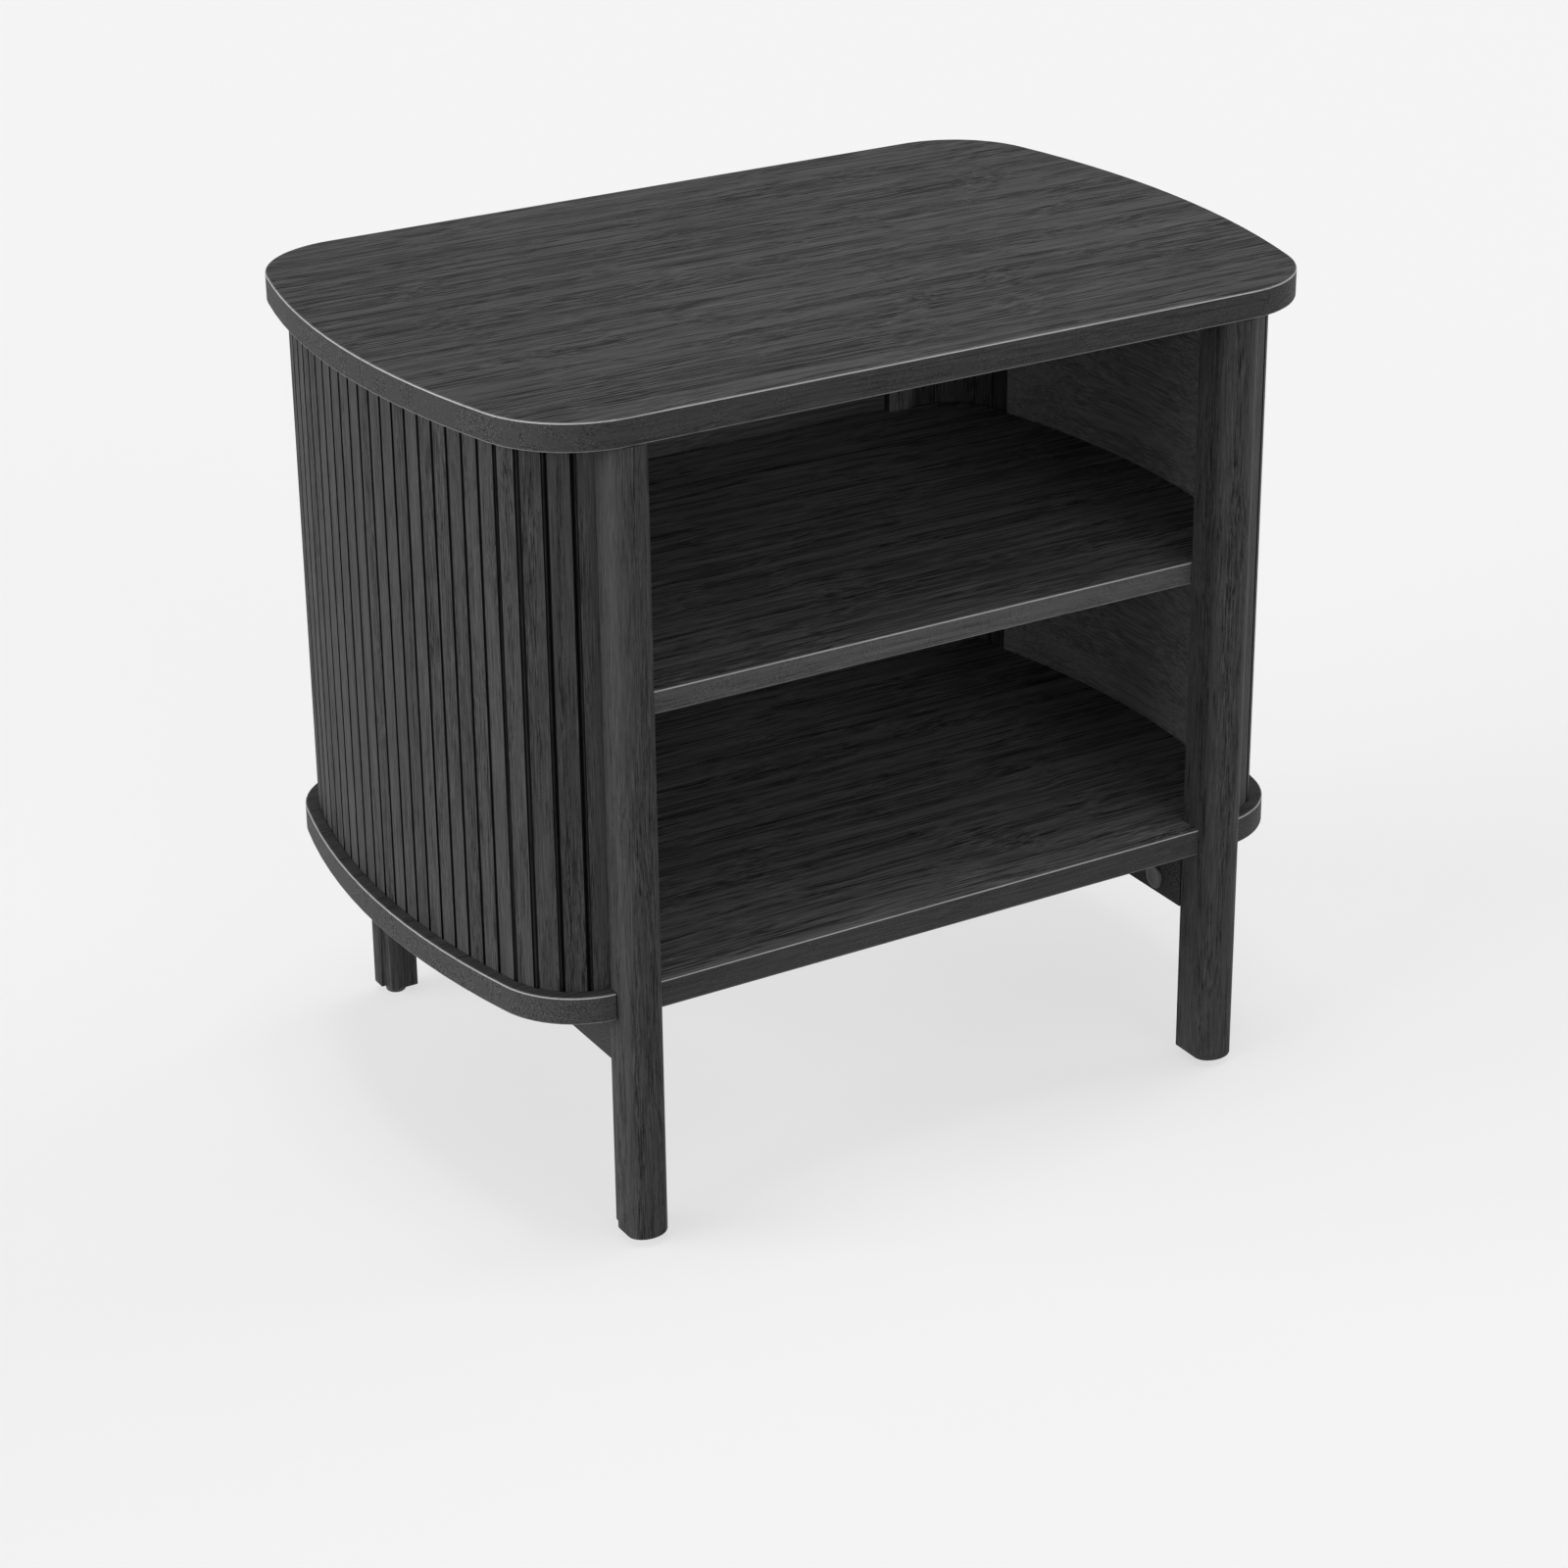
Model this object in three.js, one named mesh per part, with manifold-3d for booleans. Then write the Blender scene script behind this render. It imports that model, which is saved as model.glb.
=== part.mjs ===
// Bedside cabinet with two open bays between bowed, reeded ends.
// Millimetres, +Z up, the front faces -Y, and the origin is on the floor under the middle.

import * as THREE from 'three';
import { mergeVertices } from 'three/addons/utils/BufferGeometryUtils.js';
import Module from 'manifold-3d';

const wasm = await Module();
wasm.setup();

// Top board
const topWidth = 600;
const topDepth = 400;
const topThickness = 18;
const endBow = 34;
const topCornerRadius = 66;

// Heights of the carcass
const floorClearance = 153;
const baseThickness = 18;
const lowerBayHeight = 165;
const upperBayHeight = 167;
const shelfThickness = 15;

// Base board, whose rim shows outside the slats as a ledge
const baseInset = 4;
const baseFrontInset = 14.5;
const baseCornerRadius = 58.5;
const ledgeWidth = 8.5;

// Reeded wall of each end: flat slats glued on a thin web, with a bent lining inside
const slatPitch = 14.6;
const slatThickness = 6;
const slatGap = 0.5;
const slatChamfer = 0.6;
const webThickness = 1;
const liningThickness = 3;
const grooveDepth = 4;
const narrowestSlat = 3;

// Front legs, D-shaped in section and flush with the front of the top board
const legInset = 73;
const legWidth = 26.5;
const legRound = 10;
const legLap = 2;

// Rear legs, grooved for the back panel
const rearLegInset = 85;
const rearLegWidth = 23;
const rearLegRound = 3;
const panelGrooveDepth = 4;
const panelGrooveSetback = 7;

// Rebates of the legs that take the ends of the reeded walls
const rebateWidth = 4;
const legArris = 1;

// Back panel, side rails under the base board, and glides
const backThickness = 5;
const railThickness = 14.5;
const railHeight = 45;
const glideHeight = 5;
const glideRadius = 7;
const glideRound = 1.5;
const glideNailRadius = 1.3;
const glideNailLength = 12;

// Cam fittings that pull the boards, rails and legs together
const camRadius = 7.5;
const camDepth = 12;
const railCamDepth = 10.5;
const camReach = 34;
const camSetback = 28;
const legCamRadius = 5.5;
const legCamDepth = 10;
const legCamReach = 24;
const legCamEdge = 10;
const rearCamEdge = 11;
const camRim = 2;
const camSlotWidth = 1.6;
const camSlotDepth = 2;
const boltShankRadius = 3;
const boltThreadRadius = 2.5;
const boltThreadLength = 11;
const boltNeckRadius = 1.8;
const boltNeckLength = 3.5;
const boltHeadLength = 4;
const capRadius = 8.5;
const capThickness = 1.4;
const capRound = 0.5;
const capPlugRadius = 5.5;
const capPlugLength = 1;
const capRecess = 1.5;

// Wooden dowels in the rail ends, and the screws of the back panel
const dowelRadius = 3;
const dowelLength = 30;
const dowelChamfer = 1;
const dowelEdge = 11;
const dowelSetback = 5.5;
const screwRadius = 1.8;
const screwLength = 18;
const screwPoint = 3;
const screwHeadRadius = 3.6;
const screwHeadHeight = 2;
const screwHeadRound = 1;
const screwEdge = 42;

// Small rounds, clearances and facets
const arris = 1;
const gap = 0.3;
const boreClearance = 0.4;
const overrun = 5;
const arrisSteps = 2;
const arcSteps = 7;
const roundSides = 12;
const fittingSides = 8;

// Heights worked out from the floor up
const baseTop = floorClearance + baseThickness;
const shelfBottom = baseTop + lowerBayHeight;
const shelfTop = shelfBottom + shelfThickness;
const shelfMiddleZ = shelfBottom + shelfThickness / 2;
const topBottom = shelfTop + upperBayHeight;

// The bowed ends of every board share one centre, so their outlines stay parallel
const halfDepth = topDepth / 2;
const bowRadius = (halfDepth ** 2 + endBow ** 2) / (2 * endBow);
const bowCentreX = topWidth / 2 - bowRadius;

// Reeded wall, worked out from the ledge inwards
const slatInset = baseInset + ledgeWidth;
const slatBackInset = slatInset + slatThickness;
const slatCornerRadius = baseCornerRadius - ledgeWidth;
const slatBackRadius = slatCornerRadius - slatThickness;
const cornerSag = slatPitch ** 2 / (8 * slatBackRadius);
const bowSag = slatPitch ** 2 / (8 * bowRadius);
const wallThickness = slatThickness + webThickness + cornerSag;
const wallFrontY = -halfDepth + baseFrontInset + ledgeWidth;
const wallRearY = halfDepth - slatInset;
const liningInset = slatBackInset + webThickness + bowSag + gap;
const shelfSideInset = liningInset + liningThickness + gap;
const shelfCornerRadius = slatBackRadius - webThickness - liningThickness - gap;

// Leg faces, and where the reeded walls end in the rebates
const legFrontY = -halfDepth;
const legBackY = wallFrontY + wallThickness + legLap;
const legOuterX = topWidth / 2 - legInset;
const legInnerX = legOuterX - legWidth;
const legMiddleX = legOuterX - legWidth / 2;
const wallFrontEndX = legOuterX - rebateWidth + gap;
const rearLegFrontY = wallRearY - wallThickness - legLap;
const rearLegOuterX = topWidth / 2 - rearLegInset;
const rearLegInnerX = rearLegOuterX - rearLegWidth;
const rearLegMiddleX = rearLegOuterX - rearLegWidth / 2;
const wallRearEndX = rearLegOuterX - rebateWidth + gap;

// Back panel and rails
const panelFrontY = rearLegFrontY + panelGrooveSetback;
const panelGrooveX = rearLegInnerX + panelGrooveDepth;
const panelGrooveDepths = [panelFrontY - gap, panelFrontY + backThickness + gap];
const railInnerX = legInnerX;
const railMiddleX = railInnerX + railThickness / 2;
const railBottom = floorClearance - railHeight;
const dowelX = railInnerX + dowelSetback;
const rearCamX = rearLegInnerX + rearCamEdge;
const frontCamX = legInnerX + legCamEdge;

const cabinet = new THREE.Group();
const sides = [['left', -1], ['right', 1]];

// Finishes, as the photograph shows them
const stainedWood = { color: 0x3b3b3b, roughness: 0.55, metalness: 0 };
const darkWood = { color: 0x2c2c2c, roughness: 0.65, metalness: 0 };
const blackPlastic = { color: 0x1f1f1f, roughness: 0.5, metalness: 0 };
const zincSteel = { color: 0xa8abad, roughness: 0.35, metalness: 1 };
const beech = { color: 0xc9a878, roughness: 0.7, metalness: 0 };

function place(name, geometry, finish) {
  const mesh = new THREE.Mesh(geometry, new THREE.MeshStandardMaterial(finish));
  mesh.name = name;
  cabinet.add(mesh);
}

// Closed solids from geometries and back, so that they can be joined and cut
function toSolid(geometry) {
  const bare = geometry.clone();
  bare.deleteAttribute('normal');
  bare.deleteAttribute('uv');
  const merged = mergeVertices(bare);
  return new wasm.Manifold(new wasm.Mesh({
    numProp: 3,
    vertProperties: merged.attributes.position.array,
    triVerts: new Uint32Array(merged.index.array),
  }));
}

function toGeometry(manifold) {
  const mesh = manifold.getMesh();
  const geometry = new THREE.BufferGeometry();
  geometry.setAttribute('position', new THREE.BufferAttribute(mesh.vertProperties, 3));
  geometry.setIndex(new THREE.BufferAttribute(mesh.triVerts, 1));
  geometry.computeVertexNormals();
  return geometry;
}

function cut(geometry, tools) {
  const whole = toSolid(geometry);
  return toGeometry(tools.reduce((rest, tool) => rest.subtract(toSolid(tool)), whole));
}

function join(geometries) {
  return toGeometry(wasm.Manifold.union(geometries.map(toSolid)));
}

// A board or strip from its outline, with its sharp edges eased by the given arris
function extrude(shape, bottom, height, easing = 0) {
  const geometry = new THREE.ExtrudeGeometry(shape, {
    depth: height - 2 * easing,
    bevelEnabled: easing > 0,
    bevelThickness: easing,
    bevelSize: easing,
    bevelOffset: -easing,
    bevelSegments: arrisSteps,
    curveSegments: arcSteps,
  });
  geometry.translate(0, 0, bottom + easing);
  return geometry;
}

function block([x0, x1], [y0, y1], [z0, z1]) {
  const geometry = new THREE.BoxGeometry(Math.abs(x1 - x0), Math.abs(y1 - y0), Math.abs(z1 - z0));
  geometry.translate((x0 + x1) / 2, (y0 + y1) / 2, (z0 + z1) / 2);
  return geometry;
}

// A turned piece: its profile gives radius and distance along the axis from the start point
function turn(profile, start, axis, facets = fittingSides) {
  const points = profile.map(([radius, distance]) => new THREE.Vector2(radius, distance));
  const geometry = new THREE.LatheGeometry(points, facets);
  const turned = new THREE.Quaternion().setFromUnitVectors(new THREE.Vector3(0, 1, 0), axis);
  geometry.applyQuaternion(turned);
  geometry.translate(start.x, start.y, start.z);
  return geometry;
}

function rod(radius, from, to, start, axis) {
  return turn([[0, from], [radius, from], [radius, to], [0, to]], start, axis);
}

const up = new THREE.Vector3(0, 0, 1);
const down = new THREE.Vector3(0, 0, -1);
const frontward = new THREE.Vector3(0, -1, 0);
const backward = new THREE.Vector3(0, 1, 0);

function mirrored(points, side) {
  return new THREE.Shape(points.map((point) => new THREE.Vector2(side * point.x, point.y)));
}

// Circle that rounds a corner between a straight edge and the bowed end on the +X side
function cornerCircle(radius, sideInset, edgeY) {
  const y = edgeY - Math.sign(edgeY) * radius;
  const reach = bowRadius - sideInset - radius;
  const x = bowCentreX + Math.sqrt(reach ** 2 - y ** 2);
  return { x, y, radius, angle: Math.atan2(y, x - bowCentreX) };
}

// Rounded and bowed line of the +X end, from its front corner to its rear corner
function endLine(line, sideInset, front, rear) {
  line.absarc(front.x, front.y, front.radius, -Math.PI / 2, front.angle, false);
  line.absarc(bowCentreX, 0, bowRadius - sideInset, front.angle, rear.angle, false);
  line.absarc(rear.x, rear.y, rear.radius, rear.angle, Math.PI / 2, false);
  return line;
}

// Whole outline with both bowed ends; a step may follow each end's rear corner
function boardShape({ sideInset, frontY, rearY, radius, rearStep = [] }) {
  const front = cornerCircle(radius, sideInset, frontY);
  const rear = cornerCircle(radius, sideInset, rearY);
  const end = endLine(new THREE.Path(), sideInset, front, rear).getPoints(arcSteps);
  const half = [...end, ...rearStep];
  const otherHalf = half.map((point) => new THREE.Vector2(-point.x, point.y)).reverse();
  return new THREE.Shape([...half, ...otherHalf]);
}

// Corners of the line on which the slats' backs lie
const slatBackFrontY = wallFrontY + slatThickness;
const slatBackRearY = wallRearY - slatThickness;
const frontCorner = cornerCircle(slatBackRadius, slatBackInset, slatBackFrontY);
const rearCorner = cornerCircle(slatBackRadius, slatBackInset, slatBackRearY);

// Slat joints: points a pitch apart on that line, counted both ways from the middle of the bow
function slatJoints() {
  const line = new THREE.Path();
  line.moveTo(legInnerX, slatBackFrontY);
  line.lineTo(frontCorner.x, slatBackFrontY);
  endLine(line, slatBackInset, frontCorner, rearCorner);
  line.lineTo(rearLegInnerX, slatBackRearY);
  const frontStretch = frontCorner.x - legInnerX;
  const frontArc = slatBackRadius * (frontCorner.angle + Math.PI / 2);
  const halfBow = (bowRadius - slatBackInset) * Math.abs(frontCorner.angle);
  const middle = frontStretch + frontArc + halfBow;
  const total = line.getLength();
  const joints = [];
  for (let distance = (middle - slatPitch / 2) % slatPitch; distance < total; distance += slatPitch) {
    joints.push(line.getPointAt(distance / total));
  }
  return joints;
}

// Line beside a run of joints, at a distance to its outer side, mitred at each joint
function besideJoints(joints, distance) {
  const normals = joints.slice(1).map((point, index) => {
    const step = point.clone().sub(joints[index]).normalize();
    return new THREE.Vector2(step.y, -step.x);
  });
  return joints.map((point, index) => {
    const before = normals[Math.max(index - 1, 0)];
    const after = normals[Math.min(index, normals.length - 1)];
    const mitre = before.clone().add(after).normalize();
    return point.clone().addScaledVector(mitre, distance / mitre.dot(after));
  });
}

function band(joints, outer, inner, side, bottom, height) {
  const points = [...besideJoints(joints, outer), ...besideJoints(joints, inner).reverse()];
  return extrude(mirrored(points, side), bottom, height);
}

// Space of the legs, in front of which each wall stops short
function wallEnds(side, clearance) {
  const heights = [floorClearance, topBottom + topThickness];
  return [
    block([0, side * (wallFrontEndX - clearance)], [-halfDepth, 0], heights),
    block([0, side * (wallRearEndX - clearance)], [0, halfDepth], heights),
  ];
}

// One flat slat between two joints, with its front arrises chamfered and its back in the web
function slatPoints(from, to) {
  const forth = to.clone().sub(from).normalize();
  const out = new THREE.Vector2(forth.y, -forth.x);
  const left = slatGap / 2;
  const right = from.distanceTo(to) - slatGap / 2;
  const corners = [
    [left, -webThickness / 2],
    [right, -webThickness / 2],
    [right, slatThickness - slatChamfer],
    [right - slatChamfer, slatThickness],
    [left + slatChamfer, slatThickness],
    [left, slatThickness - slatChamfer],
  ];
  return corners.map(([run, rise]) => (
    from.clone().addScaledVector(forth, run).addScaledVector(out, rise)
  ));
}

const joints = slatJoints();
const wallBottom = baseTop - grooveDepth + gap;
const wallHeight = topBottom + grooveDepth - gap - wallBottom;

function addSlattedSide(sideName, side) {
  const pieces = [band(joints, 0, -webThickness, side, wallBottom, wallHeight)];
  joints.slice(1).forEach((to, index) => {
    const from = joints[index];
    const endX = from.y + to.y < 0 ? wallFrontEndX : wallRearEndX;
    if (Math.max(from.x, to.x) > endX + narrowestSlat) {
      pieces.push(extrude(mirrored(slatPoints(from, to), side), wallBottom, wallHeight));
    }
  });
  place(`${sideName}_slatted_side`, cut(join(pieces), wallEnds(side, 0)), stainedWood);
}

// Groove for the ends of the slats and the web
function wallGroove(side, bottom, height) {
  const inner = -webThickness - boreClearance;
  const groove = band(joints, slatThickness + boreClearance, inner, side, bottom, height);
  return cut(groove, wallEnds(side, boreClearance));
}

// Bent lining over the bowed stretch, inside the slats, or the groove for its ends
function liningBand(side, clearance, bottom, height) {
  const outerRadius = bowRadius - liningInset + clearance;
  const innerRadius = bowRadius - liningInset - liningThickness - clearance;
  const stop = (slatPitch - clearance) / bowRadius;
  const from = frontCorner.angle + stop;
  const to = rearCorner.angle - stop;
  const line = new THREE.Path();
  line.absarc(bowCentreX, 0, outerRadius, from, to, false);
  line.absarc(bowCentreX, 0, innerRadius, to, from, true);
  return extrude(mirrored(line.getPoints(arcSteps), side), bottom, height);
}

// Grooves of a board for both slatted sides, their linings and the back panel
function boardGrooves(bottom, height) {
  const panelGroove = block([-panelGrooveX, panelGrooveX], panelGrooveDepths, [bottom, bottom + height]);
  return [panelGroove, ...sides.flatMap(([, side]) => [
    wallGroove(side, bottom, height), liningBand(side, boreClearance, bottom, height),
  ])];
}

// Cam bolt: thread in the neighbour, shank, neck and head, from the joint towards the cam
function camBolt({ start, axis, reach }) {
  const headStart = reach - boltHeadLength / 2;
  return turn([
    [0, -boltThreadLength],
    [boltThreadRadius, -boltThreadLength],
    [boltThreadRadius, 0],
    [boltShankRadius, 0],
    [boltShankRadius, headStart - boltNeckLength],
    [boltNeckRadius, headStart - boltNeckLength],
    [boltNeckRadius, headStart],
    [boltShankRadius, headStart],
    [boltShankRadius, headStart + boltHeadLength],
    [0, headStart + boltHeadLength],
  ], start, axis);
}

function boltBore({ start, axis, reach }) {
  return rod(boltShankRadius + boreClearance, -overrun, reach, start, axis);
}

function threadBore({ start, axis }) {
  return rod(boltThreadRadius + boreClearance, -boltThreadLength - boreClearance, overrun, start, axis);
}

// Cam housing: a drum with a hollow for the bolt's head and a cross slot in its open face
function camDrum({ mouth, inward, radius, depth, recess }, bolt) {
  const face = mouth.clone().addScaledVector(inward, recess);
  const hollowReach = bolt.reach + boltHeadLength;
  const hollow = rod(boltShankRadius + boreClearance, 0, hollowReach, bolt.start, bolt.axis);
  const across = new THREE.Vector3().crossVectors(inward, bolt.axis).normalize();
  const turned = new THREE.Matrix4().makeBasis(bolt.axis, across, inward);
  const slotReach = radius - camRim;
  const slots = [[slotReach, camSlotWidth / 2], [camSlotWidth / 2, slotReach]].map(([x, y]) => {
    const slot = block([-x, x], [-y, y], [-overrun, camSlotDepth]);
    slot.applyMatrix4(turned);
    slot.translate(face.x, face.y, face.z);
    return slot;
  });
  return cut(rod(radius, 0, depth - recess, face, inward), [hollow, ...slots]);
}

function camPocket({ mouth, inward, radius, depth }) {
  return rod(radius + boreClearance, -overrun, depth + boreClearance, mouth, inward);
}

// The four corners, each with the bolts and cams that join top, shelf and rail to its leg
const corners = sides.flatMap(([sideName, side]) => [
  { sideName, side, end: 'front', x: frontCamX, faceY: legBackY, intoLeg: frontward },
  { sideName, side, end: 'rear', x: rearCamX, faceY: rearLegFrontY, intoLeg: backward },
].map((corner) => {
  const { x, faceY, intoLeg } = corner;
  const inside = intoLeg.clone().negate();
  const acrossBay = inside.y;
  const outward = new THREE.Vector3(side, 0, 0);
  const railY = faceY + acrossBay * camSetback;
  const legCam = { radius: legCamRadius, depth: legCamDepth, recess: gap };
  const boardCam = { radius: camRadius, depth: camDepth, recess: gap };
  const railCam = { radius: camRadius, depth: railCamDepth + capRecess, recess: capRecess };
  return {
    ...corner,
    acrossBay,
    outward,
    name: `${corner.end}_${sideName}`,
    topBolt: {
      start: new THREE.Vector3(side * x, faceY - acrossBay * legCamDepth / 2, topBottom),
      axis: down,
      reach: legCamReach,
    },
    topCam: {
      ...legCam,
      mouth: new THREE.Vector3(side * x, faceY, topBottom - legCamReach),
      inward: intoLeg,
    },
    shelfBolt: {
      start: new THREE.Vector3(side * x, faceY, shelfMiddleZ),
      axis: inside,
      reach: camReach,
    },
    shelfCam: {
      ...boardCam,
      mouth: new THREE.Vector3(side * x, faceY + acrossBay * camReach, shelfBottom),
      inward: up,
    },
    railBolt: {
      start: new THREE.Vector3(side * railMiddleX, railY, floorClearance),
      axis: down,
      reach: camReach,
    },
    railCam: {
      ...railCam,
      mouth: new THREE.Vector3(side * railInnerX, railY, floorClearance - camReach),
      inward: outward,
    },
  };
}));

// Dowels between each rail end and its leg
const dowels = [['upper', floorClearance - dowelEdge], ['lower', railBottom + dowelEdge]];

function dowel(corner, height, radius, length) {
  const jointY = corner.faceY + corner.acrossBay * gap / 2;
  return turn([
    [0, -length / 2],
    [radius - dowelChamfer, -length / 2],
    [radius, dowelChamfer - length / 2],
    [radius, length / 2 - dowelChamfer],
    [radius - dowelChamfer, length / 2],
    [0, length / 2],
  ], new THREE.Vector3(corner.side * dowelX, jointY, height), backward);
}

function dowelBores(corner) {
  const radius = dowelRadius + boreClearance;
  const length = dowelLength + 2 * boreClearance;
  return dowels.map(([, height]) => dowel(corner, height, radius, length));
}

// Screws through the back panel into the rear edge of the shelf
const screwX = rearLegInnerX - screwEdge;
const screws = [['left', -screwX], ['middle', 0], ['right', screwX]].map(([name, x]) => (
  [name, new THREE.Vector3(x, panelFrontY + backThickness + gap, shelfMiddleZ)]
));

function backScrew(start) {
  return turn([
    [0, -screwHeadHeight],
    [screwHeadRadius - screwHeadRound, -screwHeadHeight],
    [screwHeadRadius, screwHeadRound - screwHeadHeight],
    [screwHeadRadius, 0],
    [screwRadius, 0],
    [screwRadius, screwLength - screwPoint],
    [0, screwLength],
  ], start, frontward);
}

function screwBores() {
  const radius = screwRadius + boreClearance;
  return screws.map(([, start]) => rod(radius, -overrun, screwLength + boreClearance, start, frontward));
}

// Top board, with the grooves and the bolts' threads underneath
function addTop() {
  const shape = boardShape({
    sideInset: 0, frontY: -halfDepth, rearY: halfDepth, radius: topCornerRadius,
  });
  const tools = corners.map((corner) => threadBore(corner.topBolt));
  tools.push(...boardGrooves(topBottom - overrun, grooveDepth + overrun));
  place('top_board', cut(extrude(shape, topBottom, topThickness, arris), tools), stainedWood);
}

// Base board, notched round the four legs
function addBase() {
  const shape = boardShape({
    sideInset: baseInset,
    frontY: -halfDepth + baseFrontInset,
    rearY: halfDepth - baseInset,
    radius: baseCornerRadius,
  });
  const through = [floorClearance - overrun, baseTop + overrun];
  const tools = corners.map((corner) => threadBore(corner.railBolt));
  tools.push(...boardGrooves(baseTop - grooveDepth, grooveDepth + overrun));
  sides.forEach(([, side]) => {
    const front = side * (legInnerX - gap);
    const rear = side * (rearLegInnerX - gap);
    tools.push(block([front, side * wallFrontEndX], [legFrontY, legBackY + gap], through));
    tools.push(block([front, side * (legOuterX + gap)], [legFrontY, wallFrontY], through));
    tools.push(block([rear, side * wallRearEndX], [rearLegFrontY - gap, halfDepth], through));
    tools.push(block([rear, side * (rearLegOuterX + gap)], [wallRearY, halfDepth], through));
  });
  place('base_board', cut(extrude(shape, floorClearance, baseThickness, arris), tools), stainedWood);
}

// Middle shelf inside the linings, with a tongue between the rear legs
function addShelf() {
  const tongueX = rearLegInnerX - gap;
  const shape = boardShape({
    sideInset: shelfSideInset,
    frontY: legBackY + gap,
    rearY: rearLegFrontY - gap,
    radius: shelfCornerRadius,
    rearStep: [
      new THREE.Vector2(tongueX, rearLegFrontY - gap),
      new THREE.Vector2(tongueX, panelFrontY - gap),
    ],
  });
  const tools = corners.flatMap((corner) => [boltBore(corner.shelfBolt), camPocket(corner.shelfCam)]);
  tools.push(...screwBores());
  place('middle_shelf', cut(extrude(shape, shelfBottom, shelfThickness, arris), tools), stainedWood);
}

function addBackPanel() {
  const halfWidth = panelGrooveX - gap;
  const depths = [panelFrontY, panelFrontY + backThickness];
  const panel = block([-halfWidth, halfWidth], depths, [wallBottom, wallBottom + wallHeight]);
  place('back_panel', cut(panel, screwBores()), darkWood);
}

// D-shaped section: flat back and sides, and an elliptical front
function frontLegSection(side) {
  const line = new THREE.Path();
  line.moveTo(legOuterX - legArris, legBackY);
  line.lineTo(legInnerX + legArris, legBackY);
  line.lineTo(legInnerX, legBackY - legArris);
  line.absellipse(legMiddleX, legFrontY + legRound, legWidth / 2, legRound, Math.PI, 2 * Math.PI, false);
  line.lineTo(legOuterX, legBackY - legArris);
  return mirrored(line.getPoints(arcSteps), side);
}

// Rear section: square in front, rounded behind
function rearLegSection(side) {
  const roundY = halfDepth - rearLegRound;
  const line = new THREE.Path();
  line.moveTo(rearLegInnerX, rearLegFrontY);
  line.lineTo(rearLegOuterX, rearLegFrontY);
  line.absarc(rearLegOuterX - rearLegRound, roundY, rearLegRound, 0, Math.PI / 2, false);
  line.absarc(rearLegInnerX + rearLegRound, roundY, rearLegRound, Math.PI / 2, Math.PI, false);
  return mirrored(line.getPoints(arrisSteps), side);
}

// Leg with its rebate, the bores for its fittings, and the glide nailed under it
function addLeg(corner, section, footX, footY, endTools) {
  const height = topBottom - gap - glideHeight;
  const blank = extrude(section, glideHeight, height + arris, arris);
  const acrossX = [-topWidth, topWidth];
  const foot = new THREE.Vector3(corner.side * footX, footY, 0);
  const nailTop = glideHeight + glideNailLength;
  const tools = [
    block(acrossX, [-topDepth, topDepth], [topBottom - gap, topBottom + topThickness]),
    rod(glideNailRadius + boreClearance, 0, nailTop + boreClearance, foot, up),
    boltBore(corner.topBolt),
    camPocket(corner.topCam),
    threadBore(corner.shelfBolt),
    ...dowelBores(corner),
    ...endTools,
  ];
  place(`${corner.name}_leg`, cut(blank, tools), stainedWood);
  const glide = turn([
    [0, 0],
    [glideRadius - glideRound, 0],
    [glideRadius, glideRound],
    [glideRadius, glideHeight - gap],
    [glideNailRadius, glideHeight - gap],
    [glideNailRadius, nailTop - glideNailRadius],
    [0, nailTop],
  ], foot, up, roundSides);
  place(`${corner.name}_glide`, glide, blackPlastic);
}

function addFrontLeg(corner) {
  const { side } = corner;
  const rebate = block(
    [side * (wallFrontEndX - gap), side * (legOuterX + overrun)],
    [wallFrontY - gap, legBackY + overrun],
    [0, topBottom],
  );
  addLeg(corner, frontLegSection(side), legMiddleX, (legFrontY + legBackY) / 2, [rebate]);
}

function addRearLeg(corner) {
  const { side } = corner;
  const rebate = block(
    [side * (wallRearEndX - gap), side * (rearLegOuterX + overrun)],
    [rearLegFrontY - overrun, wallRearY + gap],
    [0, topBottom],
  );
  const panelGroove = block(
    [side * (rearLegInnerX - overrun), side * panelGrooveX],
    panelGrooveDepths,
    [baseTop - grooveDepth, topBottom],
  );
  const middleY = (rearLegFrontY + halfDepth) / 2;
  addLeg(corner, rearLegSection(side), rearLegMiddleX, middleY, [rebate, panelGroove]);
}

function addRail(sideName, side) {
  const rail = block(
    [side * railInnerX, side * (railInnerX + railThickness)],
    [legBackY + gap, rearLegFrontY - gap],
    [railBottom, floorClearance - gap],
  );
  const tools = corners.filter((corner) => corner.side === side).flatMap((corner) => [
    boltBore(corner.railBolt), camPocket(corner.railCam), ...dowelBores(corner),
  ]);
  place(`${sideName}_side_rail`, cut(rail, tools), stainedWood);
}

// Cover cap over a rail cam, with a plug in the mouth of its pocket
function camCap({ railCam, outward }) {
  return turn([
    [0, -capThickness - gap],
    [capRadius - capRound, -capThickness - gap],
    [capRadius, capRound - capThickness - gap],
    [capRadius, -gap],
    [capPlugRadius, -gap],
    [capPlugRadius, capPlugLength],
    [0, capPlugLength],
  ], railCam.mouth, outward, roundSides);
}

function addFittings(corner) {
  ['top', 'shelf', 'rail'].forEach((joint) => {
    const bolt = corner[`${joint}Bolt`];
    place(`${corner.name}_${joint}_bolt`, camBolt(bolt), zincSteel);
    place(`${corner.name}_${joint}_cam`, camDrum(corner[`${joint}Cam`], bolt), zincSteel);
  });
  place(`${corner.name}_cam_cap`, camCap(corner), blackPlastic);
  dowels.forEach(([name, height]) => {
    place(`${corner.name}_${name}_dowel`, dowel(corner, height, dowelRadius, dowelLength), beech);
  });
}

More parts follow.
